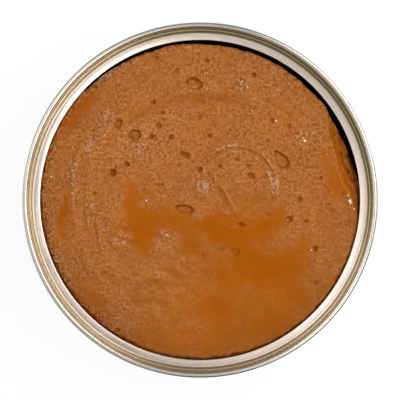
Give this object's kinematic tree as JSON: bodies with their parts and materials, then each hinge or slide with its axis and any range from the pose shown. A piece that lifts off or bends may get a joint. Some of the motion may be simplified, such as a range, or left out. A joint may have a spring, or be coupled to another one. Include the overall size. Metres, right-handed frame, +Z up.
{
  "type": "can of sardine pate",
  "caption": "Opened round metal can with its panel torn out, filled with smooth fish pate that has a void along one side, pores and faint swirl marks.",
  "frame": {"origin": "centre of the foot that the can stands on, at z = 0", "axes": "+Z up through the open top; the void along the filling's edge lies towards +Y and +X, and its broken slope faces 19.5 degrees from +X towards +Y"},
  "size_m": [0.0873, 0.0872, 0.035],
  "materials": {
    "can_body": "satin tinplate with fine vertical drawing lines",
    "lid_ring": "satin, warm clear-lacquered sheet with fine circular brushing",
    "pate": "moist brown fish pate, finely grainy, with smooth oily patches"
  },
  "bodies": {
    "root": {"can_body": "can_body", "lid_ring": "lid_ring", "pate": "pate"}
  },
  "joints": []
}
